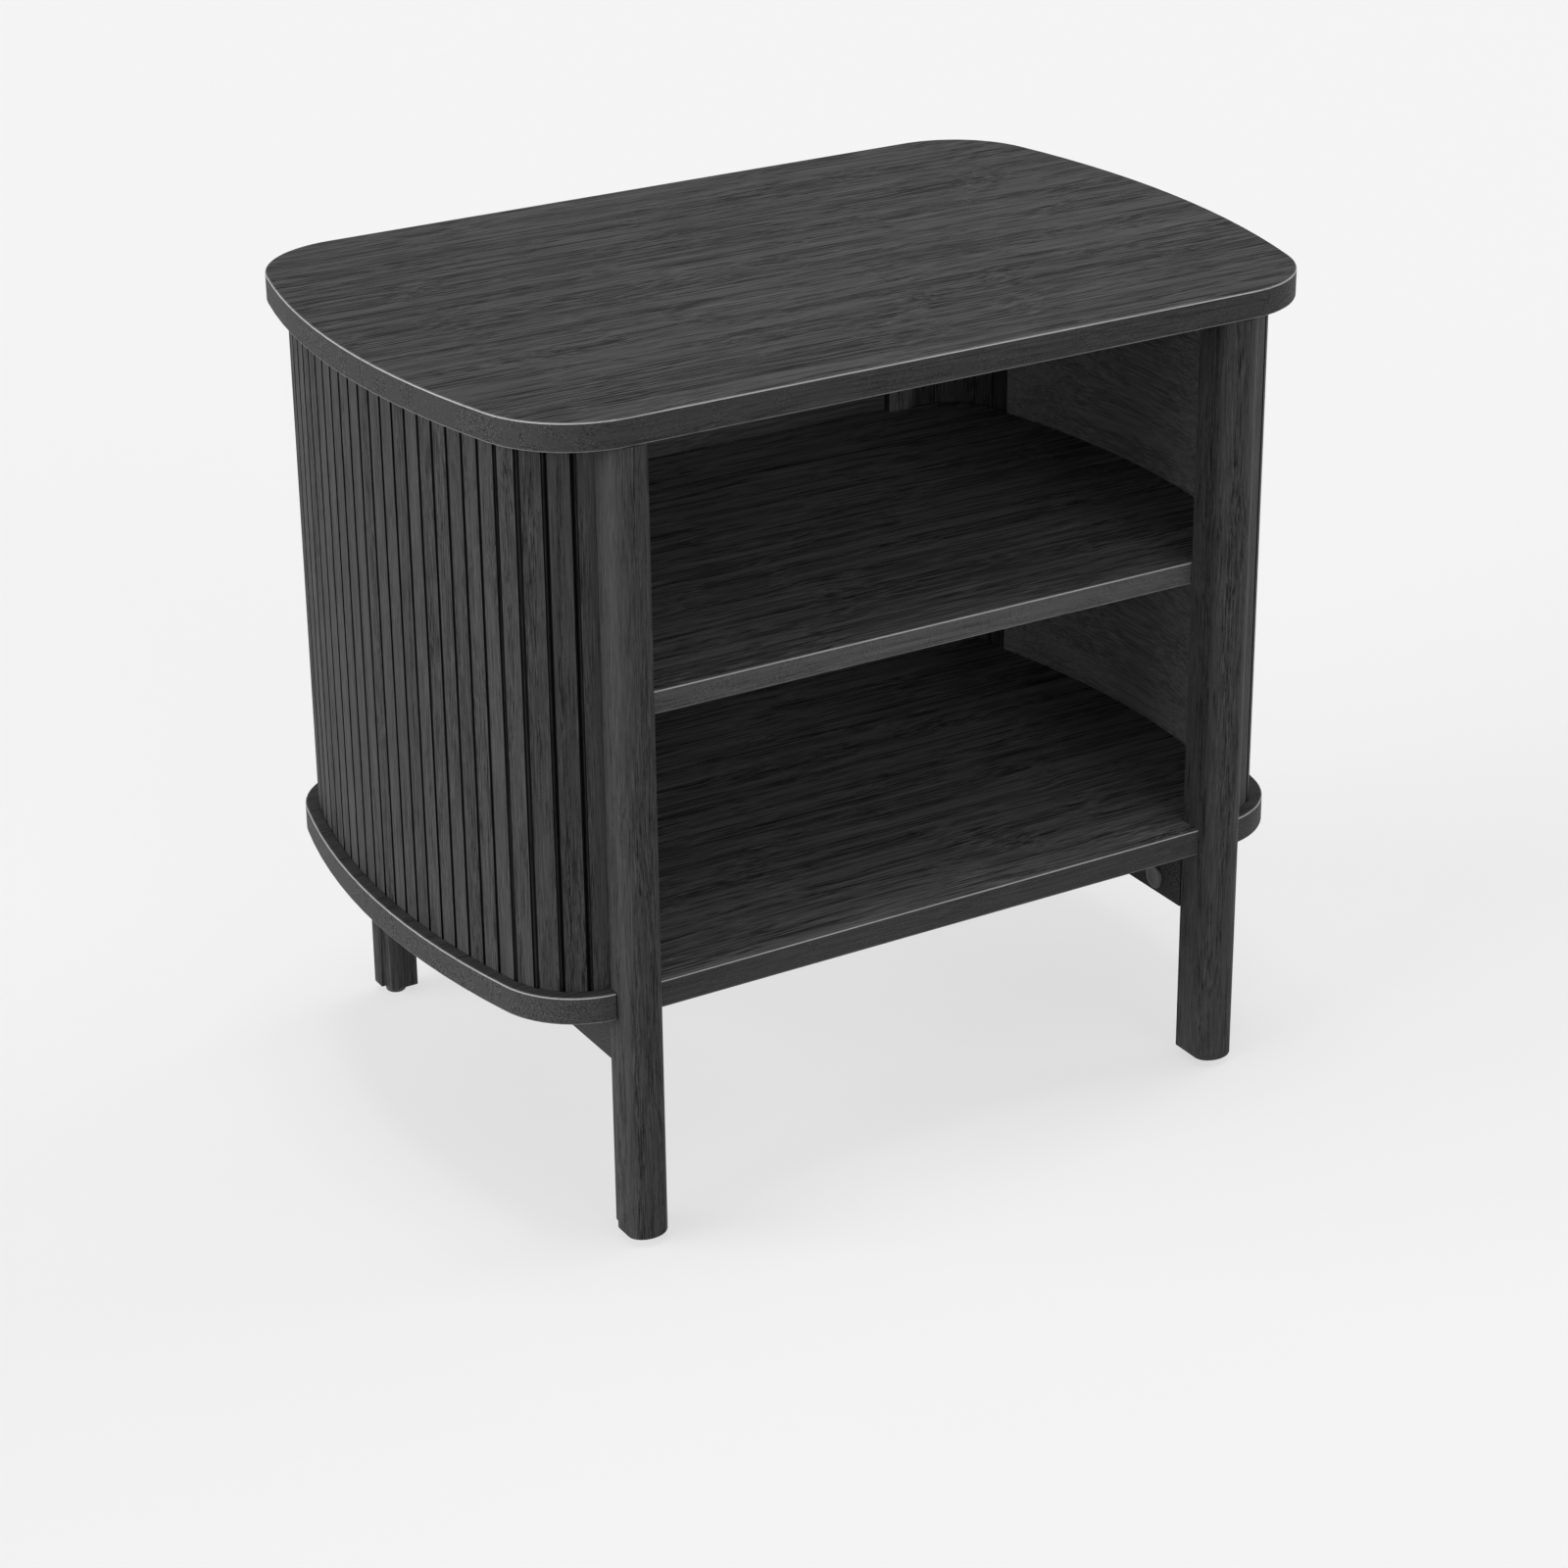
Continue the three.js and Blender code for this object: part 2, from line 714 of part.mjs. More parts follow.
addTop();
addBase();
addShelf();
addBackPanel();
sides.forEach(([sideName, side]) => {
  addSlattedSide(sideName, side);
  place(`${sideName}_side_lining`, liningBand(side, 0, wallBottom, wallHeight), darkWood);
  addRail(sideName, side);
});
corners.forEach((corner) => {
  if (corner.end === 'front') addFrontLeg(corner);
  else addRearLeg(corner);
  addFittings(corner);
});
screws.forEach(([name, start]) => place(`${name}_back_screw`, backScrew(start), zincSteel));

export default cabinet;
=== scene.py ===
"""Dark stained nightstand with slatted sides: its finishes, its small parts and its studio."""

import math

import bmesh
import bpy
from bpy.props import FloatProperty, FloatVectorProperty, IntProperty, PointerProperty
from mathutils import Matrix, Vector


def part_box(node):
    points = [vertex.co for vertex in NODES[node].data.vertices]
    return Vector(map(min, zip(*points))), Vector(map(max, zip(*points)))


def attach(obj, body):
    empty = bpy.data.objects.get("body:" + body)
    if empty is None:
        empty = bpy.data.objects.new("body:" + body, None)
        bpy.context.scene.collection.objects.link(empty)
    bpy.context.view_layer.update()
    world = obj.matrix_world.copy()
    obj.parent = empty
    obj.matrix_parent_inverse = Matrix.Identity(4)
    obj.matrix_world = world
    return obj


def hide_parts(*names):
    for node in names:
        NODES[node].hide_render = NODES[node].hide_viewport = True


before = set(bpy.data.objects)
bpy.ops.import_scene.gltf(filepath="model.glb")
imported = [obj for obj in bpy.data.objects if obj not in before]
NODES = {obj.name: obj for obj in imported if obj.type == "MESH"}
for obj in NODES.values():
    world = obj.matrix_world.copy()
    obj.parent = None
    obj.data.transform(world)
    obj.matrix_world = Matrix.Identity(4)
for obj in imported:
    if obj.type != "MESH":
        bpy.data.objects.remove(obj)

bl_info = {
    "name": "Slatted Nightstand",
    "version": (1, 0, 0),
    "blender": (4, 5, 0),
    "location": "3D View > Sidebar > Nightstand",
    "description": "Finishes a nightstand with slatted sides and sets it in a plain studio",
    "category": "Object",
}

BODY = "root"
SIDES = ("left", "right")
MM = 0.001


# Shader building

class Value:
    """A node's output. Where it is a number, arithmetic on it adds Math nodes."""

    def __init__(self, shader, socket):
        self.shader = shader
        self.socket = socket

    def math(self, operation, *others):
        return self.shader.math(operation, self, *others)

    def __add__(self, other):
        return self.math("ADD", other)

    def __radd__(self, other):
        return self.math("ADD", other)

    def __sub__(self, other):
        return self.math("SUBTRACT", other)

    def __rsub__(self, other):
        return self.shader.math("SUBTRACT", other, self)

    def __mul__(self, other):
        return self.math("MULTIPLY", other)

    def __rmul__(self, other):
        return self.math("MULTIPLY", other)

    def held(self):
        """This number, held between 0 and 1."""
        return self.math("MAXIMUM", 0).math("MINIMUM", 1)

    def ramp(self, start, end):
        """0 at start, 1 at end, smooth between them and held outside."""
        return self.shader.node(
            "ShaderNodeMapRange",
            {"interpolation_type": "SMOOTHSTEP"},
            {"Value": self, "From Min": start, "From Max": end},
        )


class Shader:
    """The node tree of a material or a world, which takes values from expressions."""

    def __init__(self, owner, output="ShaderNodeOutputMaterial"):
        self.owner = owner
        self.tree = owner.node_tree
        self.tree.nodes.clear()
        self.output = self.tree.nodes.new(output)

    def node(self, kind, settings, inputs, output=0):
        made = self.tree.nodes.new(kind)
        for key, setting in settings.items():
            setattr(made, key, setting)
        for key, entry in inputs.items():
            self.put(made.inputs[key], entry)
        return Value(self, made.outputs[output])

    def put(self, socket, entry):
        if isinstance(entry, Value):
            self.tree.links.new(entry.socket, socket)
        else:
            socket.default_value = entry

    def math(self, operation, *entries):
        return self.node("ShaderNodeMath", {"operation": operation}, dict(enumerate(entries)))

    def place(self, stretch):
        """Object coordinates, scaled by stretch along each axis."""
        spot = self.node("ShaderNodeTexCoord", {}, {}, "Object")
        return self.node("ShaderNodeMapping", {}, {"Vector": spot, "Scale": stretch})

    def moved(self, spot, amount):
        """A vector with amount added to it, to all three of its parts where it is a number."""
        return self.node("ShaderNodeVectorMath", {"operation": "ADD"}, {0: spot, 1: amount})

    def noise(self, spot, scale=1.0, detail=2.0, roughness=0.5, distortion=0.0):
        return self.node("ShaderNodeTexNoise", {}, {
            "Vector": spot, "Scale": scale, "Detail": detail,
            "Roughness": roughness, "Distortion": distortion,
        })

    def attribute(self, name):
        return self.node("ShaderNodeAttribute", {"attribute_name": name}, {}, "Fac")

    def blend(self, share, first, second):
        """A colour between first and second."""
        mix = {"data_type": "RGBA"}
        return self.node("ShaderNodeMix", mix, {0: share, 6: first, 7: second}, 2)

    def tinted(self, share, colour, dark, pale):
        """A colour between a dark and a pale shade of one colour."""
        return self.blend(share, shade(colour, dark), shade(colour, pale))

    def bump(self, height, depth, strength):
        return self.node("ShaderNodeBump", {}, {
            "Height": height, "Distance": depth, "Strength": strength,
        }, "Normal")

    def seen(self):
        """1 where the eye or a clear reflection looks straight at this, and 0 for its light."""
        rays = ("Is Camera Ray", "Is Glossy Ray", "Is Transmission Ray")
        camera, glossy, through = (self.node("ShaderNodeLightPath", {}, {}, ray) for ray in rays)
        return camera.math("MAXIMUM", glossy).math("MAXIMUM", through)

    def mixed(self, share, first, second):
        """A shader between first and second."""
        return self.node("ShaderNodeMixShader", {}, {0: share, 1: first, 2: second})

    def show(self, surface):
        self.put(self.output.inputs["Surface"], surface)
        return self.owner

    def finish(self, **inputs):
        """Shows one surface shader, with the sockets named."""
        named = {name.replace("_", " "): entry for name, entry in inputs.items()}
        return self.show(self.node("ShaderNodeBsdfPrincipled", {}, named))


def new_finish(name):
    made = bpy.data.materials.new(name)
    made.use_nodes = True
    return Shader(made)


def shade(colour, factor=1):
    return (*(channel * factor for channel in colour[:3]), 1.0)


# Settings

class StainedWoodSettings(bpy.types.PropertyGroup):
    stain: FloatVectorProperty(
        name="Stain", description="Middle tone of the black-grey stain",
        subtype="COLOR", size=3, min=0, max=1, default=(0.04, 0.04, 0.04),
    )
    # This tone is a painted highlight along the eased edges of the boards and rails
    arris_highlight: FloatVectorProperty(
        name="Arris highlight", description="Tone of the painted highlight on the eased edges",
        subtype="COLOR", size=3, min=0, max=1, default=(0.7, 0.7, 0.7),
    )
    line_width: FloatProperty(
        name="Line width", description="Width of the fine grain lines",
        subtype="DISTANCE", default=0.75 * MM, min=0.1 * MM, max=10 * MM,
    )
    line_length: FloatProperty(
        name="Line length", description="Length of the fine grain lines",
        subtype="DISTANCE", default=110 * MM, min=1 * MM, max=900 * MM,
    )
    band_width: FloatProperty(
        name="Band width", description="Width of the paler and darker growth bands",
        subtype="DISTANCE", default=9 * MM, min=1 * MM, max=90 * MM,
    )
    band_length: FloatProperty(
        name="Band length", description="Length of the growth bands",
        subtype="DISTANCE", default=400 * MM, min=1 * MM, max=4000 * MM,
    )
    sway: FloatProperty(
        name="Sway", description="How far the grain wanders from a straight line",
        subtype="DISTANCE", default=5 * MM, min=0, max=40 * MM,
    )
    sway_length: FloatProperty(
        name="Sway length", description="Length of one bend of the grain",
        subtype="DISTANCE", default=130 * MM, min=10 * MM, max=900 * MM,
    )
    pore_width: FloatProperty(
        name="Pore width", description="Width of the open pores",
        subtype="DISTANCE", default=0.55 * MM, min=0.1 * MM, max=10 * MM,
    )
    pore_length: FloatProperty(
        name="Pore length", description="Length of the open pores",
        subtype="DISTANCE", default=22 * MM, min=1 * MM, max=200 * MM,
    )
    speck_width: FloatProperty(
        name="Speck width", description="Size of the specks in the cut ends of the grain",
        subtype="DISTANCE", default=0.9 * MM, min=0.1 * MM, max=10 * MM,
    )
    contrast: FloatProperty(
        name="Grain contrast", description="How far the grain departs from the middle tone",
        subtype="FACTOR", default=1.5, min=0, max=3,
    )
    roughness: FloatProperty(
        name="Roughness", description="Roughness of the thin satin lacquer",
        subtype="FACTOR", default=0.6, min=0, max=1,
    )
    gloss: FloatProperty(
        name="Gloss", description="Strength of the lacquer's reflection",
        subtype="FACTOR", default=0.05, min=0, max=1,
    )


class InnerSettings(bpy.types.PropertyGroup):
    # The inside tones of the linings and the back panel are painted paler than the stain: painted
    # light in the bays
    lining: FloatVectorProperty(
        name="Lining", description="Tone of the bent linings, inside",
        subtype="COLOR", size=3, min=0, max=1, default=(0.22, 0.22, 0.22),
    )
    panel: FloatVectorProperty(
        name="Panel", description="Tone of the back panel, inside",
        subtype="COLOR", size=3, min=0, max=1, default=(0.055, 0.055, 0.055),
    )
    gloss: FloatProperty(
        name="Gloss", description="Strength of the inner sheets' reflection",
        subtype="FACTOR", default=0.12, min=0, max=1,
    )
    beech: FloatVectorProperty(
        name="Beech", description="Colour of the dowels",
        subtype="COLOR", size=3, min=0, max=1, default=(0.58, 0.4, 0.22),
    )


class FittingSettings(bpy.types.PropertyGroup):
    plastic: FloatVectorProperty(
        name="Plastic", description="Colour of the glides and the cam caps",
        subtype="COLOR", size=3, min=0, max=1, default=(0.02, 0.02, 0.02),
    )
    zinc: FloatVectorProperty(
        name="Zinc", description="Colour of the plated bolts, cams and screws",
        subtype="COLOR", size=3, min=0, max=1, default=(0.5, 0.51, 0.53),
    )
    round_sides: IntProperty(
        name="Round sides", description="Number of sides of turned pieces",
        default=48, min=12, max=96,
    )


class StudioSettings(bpy.types.PropertyGroup):
    floor: FloatVectorProperty(
        name="Floor", description="Colour of the floor",
        subtype="COLOR", size=3, min=0, max=1, default=(0.8, 0.8, 0.8),
    )
    bounce: FloatVectorProperty(
        name="Floor bounce", description="Colour of the floor in the light that it throws back",
        subtype="COLOR", size=3, min=0, max=1, default=(0.5, 0.5, 0.5),
    )
    backdrop: FloatVectorProperty(
        name="Backdrop", description="Colour behind the floor, as the camera sees it",
        subtype="COLOR", size=3, min=0, max=1, default=(0.87, 0.87, 0.87),
    )
    glow: FloatVectorProperty(
        name="Floor glow", description="Tone of the floor's own glow, as the camera sees it",
        subtype="COLOR", size=3, min=0, max=1, default=(0.97, 0.97, 0.97),
    )
    glow_share: FloatProperty(
        name="Glow share", description="Share of the glow, which keeps the floor's shadow pale",
        subtype="FACTOR", default=0.62, min=0, max=1,
    )
    dome: FloatProperty(
        name="Dome", description="Strength of the even light from all round",
        default=0.35, min=0, max=2,
    )
    back_left: FloatProperty(
        name="Back left", description="Strength of the lamp at the back left",
        default=2.15, min=0, max=8,
    )
    left: FloatProperty(
        name="Left", description="Strength of the lamp at the left", default=1.55, min=0, max=8,
    )
    right: FloatProperty(
        name="Right", description="Strength of the lamp at the right", default=2.3, min=0, max=8,
    )
    front: FloatProperty(
        name="Front", description="Strength of the low lamp in front", default=1.0, min=0, max=8,
    )
    front_left: FloatProperty(
        name="Front left", description="Strength of the low lamp at the front left",
        default=0.45, min=0, max=8,
    )
    top: FloatProperty(
        name="Top", description="Strength of the lamp overhead", default=0.87, min=0, max=8,
    )


GROUPS = {
    "nightstand_wood": StainedWoodSettings,
    "nightstand_inner": InnerSettings,
    "nightstand_fittings": FittingSettings,
    "nightstand_studio": StudioSettings,
}


# Finishes

# Noise: its mean, and its own roughness in the streaks, the specks, and the flecks and grit
MEAN = 0.5
STREAKY = 0.65
SPECKY = 0.7
GRAINY = 0.6

# Depth of the grain, from 0, darkest, to 1, palest: its middle, and how far each thing moves it
MIDDLE_DEPTH = 0.57
LINE_WEIGHT = 3.0
BAND_WEIGHT = 0.9
PORE_WEIGHT = 0.4
SLAT_WEIGHT = 0.2

# Lines and pores crowd in the darker bands: the noise of these bands, the share of the pores that
# the paler bands still have, what the lines have over that, and the noise of open pores
DARKER_BANDS = (0.62, 0.38)
LEAST_CROWDED = 0.25
MORE_LINES = 0.35
OPEN_PORES = (0.53, 0.66)

# Sway of the grain: how much faster it changes across the grain than along it
SWAY_ACROSS = 2.5

# How far apart in the noise the first and the last slat's sway and grain are taken
SLAT_SWAY_REACH = 5
SLAT_GRAIN_REACH = 37

# Cut ends of the grain: the middle depth, faint specks all over, and stronger ones in patches
CUT_DEPTH = 0.56
SPECK_WEIGHT = 1.2
PATCH_WEIGHT = 2.6
PATCH_SCALE = 0.06 / MM
PATCHES = (0.42, 0.56)

# Stain: its darkest and palest shade as shares of its middle tone, the depths between which the
# painted edge shows, which is painted highlight on the boards' arrises and painted shade in the
# slats' joints, and the height of a line as a share of a pore's depth
DARKEST = 0.2
PALEST = 1.8
PAINTED_EDGE_DEPTHS = (-0.6, 0.6)
LINE_RELIEF = 0.6

# Roughness: its middle where no setting gives it, and how far each pattern moves it
SHEET_ROUGHNESS = 0.68
BEECH_ROUGHNESS = 0.65
LINE_SPREAD = 0.5
PORE_SPREAD = 0.15
SHEET_SPREAD = 0.3
FLECK_SPREAD = 0.2
GRIT_SPREAD = 0.3

# The noise of beech flecks, and the darkest cloud in plastic and zinc as a share of their colour
FLECKS = (0.35, 0.65)
DARK_CLOUD = 0.8


def wood_depth(shader, grain, settings, strength, length=1.0):
    """How pale the grain is, with its fine lines and its open pores.

    Grain names the axis that it runs along. Strength and length are shares of the contrast and
    of the length that the settings give.
    """
    axis = "XYZ".index(grain)
    slat = shader.attribute("slat")
    bend = [SWAY_ACROSS / settings.sway_length] * 3
    bend[axis] = 1 / settings.sway_length
    sway = shader.noise(shader.moved(shader.place(bend), slat * SLAT_SWAY_REACH), detail=1) - MEAN

    def streaks(width, reach, detail, wander):
        stretch = [1 / width] * 3
        stretch[axis] = 1 / reach
        aside = sway * (2 * settings.sway / width)
        across = {letter: aside for letter in "XYZ" if letter != grain}
        spot = shader.moved(shader.place(stretch), slat * SLAT_GRAIN_REACH)
        spot = shader.moved(spot, shader.node("ShaderNodeCombineXYZ", {}, across))
        return shader.noise(spot, detail=detail, roughness=STREAKY, distortion=wander)

    lines = streaks(settings.line_width, settings.line_length * length, detail=3, wander=0.35)
    bands = streaks(settings.band_width, settings.band_length, detail=2, wander=0.5)
    pores = streaks(settings.pore_width, settings.pore_length * length, detail=1, wander=0.2)
    crowded = bands.ramp(*DARKER_BANDS) * (1 - LEAST_CROWDED) + LEAST_CROWDED
    pores = pores.ramp(*OPEN_PORES) * crowded
    depth = (
        (lines - MEAN) * (crowded + MORE_LINES) * LINE_WEIGHT
        + (bands - MEAN) * BAND_WEIGHT - pores * PORE_WEIGHT
    )
    depth = depth * (strength * settings.contrast) + (slat - MEAN) * SLAT_WEIGHT + MIDDLE_DEPTH
    return depth, lines, pores


def speckled(shader, settings):
    """How pale the cut ends of the grain are, in patches of fine specks."""
    fine = shader.place([1 / settings.speck_width] * 3)
    specks = shader.noise(fine, detail=2, roughness=SPECKY)
    patches = shader.noise(shader.place([PATCH_SCALE] * 3), detail=2).ramp(*PATCHES)
    return CUT_DEPTH + (MEAN - specks) * (SPECK_WEIGHT + PATCH_WEIGHT * patches)


def stained_wood(
    name, settings, grain, tone=1.0, painted_light_factor=1.0, edge=None, strength=1.0, length=1.0, calm=0.0,
):
    """Black-grey stain over open grain, which reads the marks on the faces of its piece.

    Tone is how pale the stain is, and the faces marked flat are painted paler by the given factor,
    as painted light. Calm is the share of the grain's strength that the other faces lose. What is
    marked as an arris shows the colour edge where one is given, which on the slats is painted
    shade in the joints, and else the arris tone, a painted highlight.
    """
    shader = new_finish(name)
    if calm:
        strength = (shader.attribute("flat") * calm + (1 - calm)) * strength
    depth, lines, pores = wood_depth(shader, grain, settings, strength, length)
    depth = depth + (speckled(shader, settings) - depth) * shader.attribute("cut")
    depth = depth.held()
    dark, pale = DARKEST * tone, PALEST * tone
    body = shader.tinted(depth, settings.stain, dark, pale)
    # Painted light: the faces marked flat are painted paler
    if painted_light_factor != 1.0:
        flat = shader.tinted(depth, settings.stain, dark * painted_light_factor, pale * painted_light_factor)
        body = shader.blend(shader.attribute("flat"), body, flat)
    # Painted edge: a painted highlight on the boards' arrises, and painted shade in the slats'
    # joints
    painted_edge_share = shader.attribute("arris") * depth.ramp(*PAINTED_EDGE_DEPTHS)
    return shader.finish(
        Base_Color=shader.blend(painted_edge_share, body, edge or shade(settings.arris_highlight)),
        Specular_IOR_Level=settings.gloss,
        Roughness=settings.roughness + (MEAN - lines) * LINE_SPREAD + pores * PORE_SPREAD,
        Normal=shader.bump(lines * LINE_RELIEF - pores, depth=0.06 * MM, strength=0.5),
    )


def inner_sheet(name, tone, settings, wood, grain):
    """Stained sheet wood, duller than the boards, whose inside face is painted paler than its
    outside: painted light in the bays.
    """
    shader = new_finish(name)
    depth, lines, pores = wood_depth(shader, grain, wood, strength=0.8)
    depth = depth.held()
    outside = shader.tinted(depth, wood.stain, dark=0.5, pale=1.5)
    # Painted light: the inside faces take a paler tone
    inside = shader.tinted(depth, tone, dark=0.6, pale=1.4)
    return shader.finish(
        Base_Color=shader.blend(shader.attribute("inside"), outside, inside),
        Specular_IOR_Level=settings.gloss,
        Roughness=SHEET_ROUGHNESS + (MEAN - lines) * SHEET_SPREAD,
        Normal=shader.bump(lines - pores, depth=0.03 * MM, strength=0.4),
    )


def beech_wood(name, colour):
    """Pale wood with short flecks along the dowels, which lie from front to back."""
    shader = new_finish(name)
    spot = shader.place([1 / MM, 0.06 / MM, 1 / MM])
    flecks = shader.noise(spot, scale=1.4, detail=4, roughness=GRAINY)
    return shader.finish(
        Base_Color=shader.tinted(flecks.ramp(*FLECKS), colour, dark=0.75, pale=1.15),
        Roughness=BEECH_ROUGHNESS + (flecks - MEAN) * FLECK_SPREAD,
        Normal=shader.bump(flecks, depth=0.04 * MM, strength=0.4),
    )


def gritty(name, colour, pale, scale, detail, cloud_scale, roughness, depth, strength, metal=0.0):
    """Plastic or plated steel, with fine grit in its face and soft clouds in its colour.

    Scale and detail are the grit's, and depth and strength are those of its bumps.
    """
    shader = new_finish(name)
    spot = shader.place([1 / MM] * 3)
    grit = shader.noise(spot, scale, detail, GRAINY)
    cloud = shader.noise(spot, cloud_scale, detail=2)
    return shader.finish(
        Base_Color=shader.tinted(cloud, colour, DARK_CLOUD, pale),
        Metallic=metal,
        Roughness=roughness + (grit - MEAN) * GRIT_SPREAD,
        Normal=shader.bump(grit, depth, strength),
    )


# Pieces

# Turned pieces: depth and radius in mm, from the end that shows
GLIDE = (
    (0, 0), (0, 4.9), (0.3, 6.0), (0.9, 6.7), (1.7, 7.0), (4.3, 7.0), (4.7, 6.6), (4.7, 1.3),
    (15.7, 1.3), (17.0, 0),
)
CAP = (
    (0.3, 0), (0.3, 4.6), (0.1, 5.1), (0, 5.7), (0, 7.4), (0.2, 8.1), (0.6, 8.5), (1.4, 8.5),
    (1.4, 5.5), (2.7, 5.5), (2.7, 0),
)
SCREW = (
    (1.3, 0), (1.1, 0.9), (0, 1.5), (0, 2.4), (0.3, 3.1), (1.0, 3.6), (2.0, 3.6), (2.0, 1.8),
    (17.0, 1.8), (20.0, 0),
)

# Meshes
WELD = 0.00001  # vertices nearer than this become one
SAME_PLANE = math.radians(0.4)  # faces that turn by less than this become one
SHARP = math.radians(50)  # edges that turn by more than this stay sharp
LARGE_FACES = 100  # how much the shading leans to the larger faces
FACING = 0.5  # least part of a face's normal along the way that it looks

# Faces of a board, whose edges are eased in two steps
LEVEL = 0.98  # least rise of a level face's normal
NEARLY_LEVEL = 0.6  # least rise of the step next to a level face
SLOPING = 0.1  # least rise of the step next to the upright edge
BROAD = 0.03  # least area of a broad face, in square metres
NEARLY_LEVEL_HIGHLIGHT = 0.25  # share of the board's painted highlight on the step next to a level face
UNDERSIDE_HIGHLIGHT = 0.35  # share of it on the other step, underneath
FRONT_CUT = 0.35  # share of cut grain on the front edge
RAIL_HIGHLIGHT = 0.25  # painted highlight on a rail's eased edges, where a board's is about twice as much

# Faces of a slatted side
SLAT_HEIGHT = 300 * MM  # least height of a slat's front
SLAT_WIDTH = 8 * MM  # least width of a slat's front
SLAT_RISE = 0.01  # most rise of a front's normal
STRAIGHT = 0.85  # least part of it along X where the side is nearly straight
JOINT_FACE = 1.1 * MM  # most width of a face in a joint, which gets painted shade
JOINT_RIM = 0.45 * MM  # width of the painted shade on a front along a joint
OPEN_JOINT_RIM = JOINT_RIM / 4  # the same where the joints stand open
GOLDEN_SHARE = 0.6180339  # step from one slat's number to the next one's


def placed(mesh, name, finish):
    """An object of the finished mesh."""
    data = bpy.data.meshes.new(name)
    mesh.to_mesh(data)
    mesh.free()
    data.materials.append(finish)
    made = bpy.data.objects.new(name, data)
    bpy.context.scene.collection.objects.link(made)
    return made


def own(mesh, name, finish, slot, *nodes):
    """A piece that stands for the given nodes."""
    piece = placed(mesh, name, finish)
    piece.data.shade_smooth()
    piece.data.set_sharp_from_angle(angle=SHARP)
    weighted = piece.modifiers.new("Weighted normals", "WEIGHTED_NORMAL")
    weighted.keep_sharp = True
    weighted.weight = LARGE_FACES
    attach(piece, BODY)
    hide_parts(*nodes)


def merged_copy(node):
    mesh = bmesh.new()
    mesh.from_mesh(NODES[node].data)
    bmesh.ops.remove_doubles(mesh, verts=mesh.verts, dist=WELD)
    bmesh.ops.dissolve_limit(mesh, angle_limit=SAME_PLANE, verts=mesh.verts, edges=mesh.edges)
    return mesh


def mark_board(mesh, painted_edge_share):
    """Gives each face of a board what the finish reads.

    That is its share of the painted highlight, where it is an eased edge, its share of cut grain,
    and whether it is one of the broad flat faces.
    """
    # Shares of the painted highlight on the eased edges
    arris_highlight = mesh.faces.layers.float.new("arris")
    cut = mesh.faces.layers.float.new("cut")
    flat = mesh.faces.layers.float.new("flat")
    for face in mesh.faces:
        rise = face.normal.z
        if abs(rise) > LEVEL:
            face[flat] = float(face.calc_area() > BROAD)
        elif abs(rise) > NEARLY_LEVEL:
            face[arris_highlight] = NEARLY_LEVEL_HIGHLIGHT * painted_edge_share
        elif abs(rise) > SLOPING:
            face[arris_highlight] = painted_edge_share if rise > 0 else UNDERSIDE_HIGHLIGHT * painted_edge_share
        else:
            face[cut] = FRONT_CUT + (1 - FRONT_CUT) * abs(face.normal.x)


def mark_bay(mesh, inwards):
    """Marks the faces of a rear leg that look into the bays, above the base board, for painted
    light in the bays.

    Inwards is the way along X from the leg to the bays, 1 or -1.
    """
    base_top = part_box("base_board")[1]
    bmesh.ops.bisect_plane(
        mesh, geom=[*mesh.verts, *mesh.edges, *mesh.faces], plane_co=base_top, plane_no=(0, 0, 1),
    )
    flat = mesh.faces.layers.float.new("flat")
    for face in mesh.faces:
        looks_in = face.normal.y < -FACING or face.normal.x * inwards > FACING
        face[flat] = float(looks_in and face.calc_center_median().z > base_top.z)


def mark_slats(mesh):
    """Marks the joints between the slats for painted shade, and gives each slat a number between 0
    and 1.

    Each front gets a rim along its joints, which is marked with them, so that the painted shade in
    a joint is wider than its chamfers. Where the side turns to the front, its joints stand open,
    so the rims are narrower there.
    """
    # The marked faces are painted near black: painted shade in the joints
    shaded_joint = mesh.faces.layers.float.new("arris")
    number = mesh.faces.layers.float.new("slat")
    for face in mesh.faces:
        height = max(edge.calc_length() for edge in face.edges)
        narrow = face.calc_area() / height < JOINT_FACE
        face[shaded_joint] = float(narrow and height > SLAT_HEIGHT)
    fronts = [
        face for face in mesh.faces
        if face.calc_area() > SLAT_HEIGHT * SLAT_WIDTH and abs(face.normal.z) < SLAT_RISE
    ]
    bent = [face for face in fronts if abs(face.normal.x) < STRAIGHT]
    straight = [face for face in fronts if abs(face.normal.x) >= STRAIGHT]
    for faces, width in ((bent, OPEN_JOINT_RIM), (straight, JOINT_RIM)):
        rims = bmesh.ops.inset_individual(mesh, faces=faces, thickness=width, use_even_offset=True)
        for rim in rims["faces"]:
            height = max(edge.calc_length() for edge in rim.edges)
            rim[shaded_joint] = float(height > SLAT_HEIGHT)
    centres = [face.calc_center_median().xy for face in fronts]
    for face in mesh.faces:
        spot = face.calc_center_median().xy
        away = [(centre - spot).length for centre in centres]
        face[number] = (away.index(min(away)) * GOLDEN_SHARE) % 1


def mark_inside(mesh, outwards):
    """Marks the faces of a lining or panel, apart from those that look along outwards, for the
    painted light in the bays.
    """
    inside = mesh.faces.layers.float.new("inside")
    for face in mesh.faces:
        face[inside] = float(face.normal.dot(Vector(outwards)) < FACING)


def finished(node, finish, slot, mark=None, *details):
    """A merged copy of a node, on which mark prepares the faces for the finish."""
    mesh = merged_copy(node)
    if mark:
        mark(mesh, *details)
    own(mesh, node + "_finished", finish, slot, node)


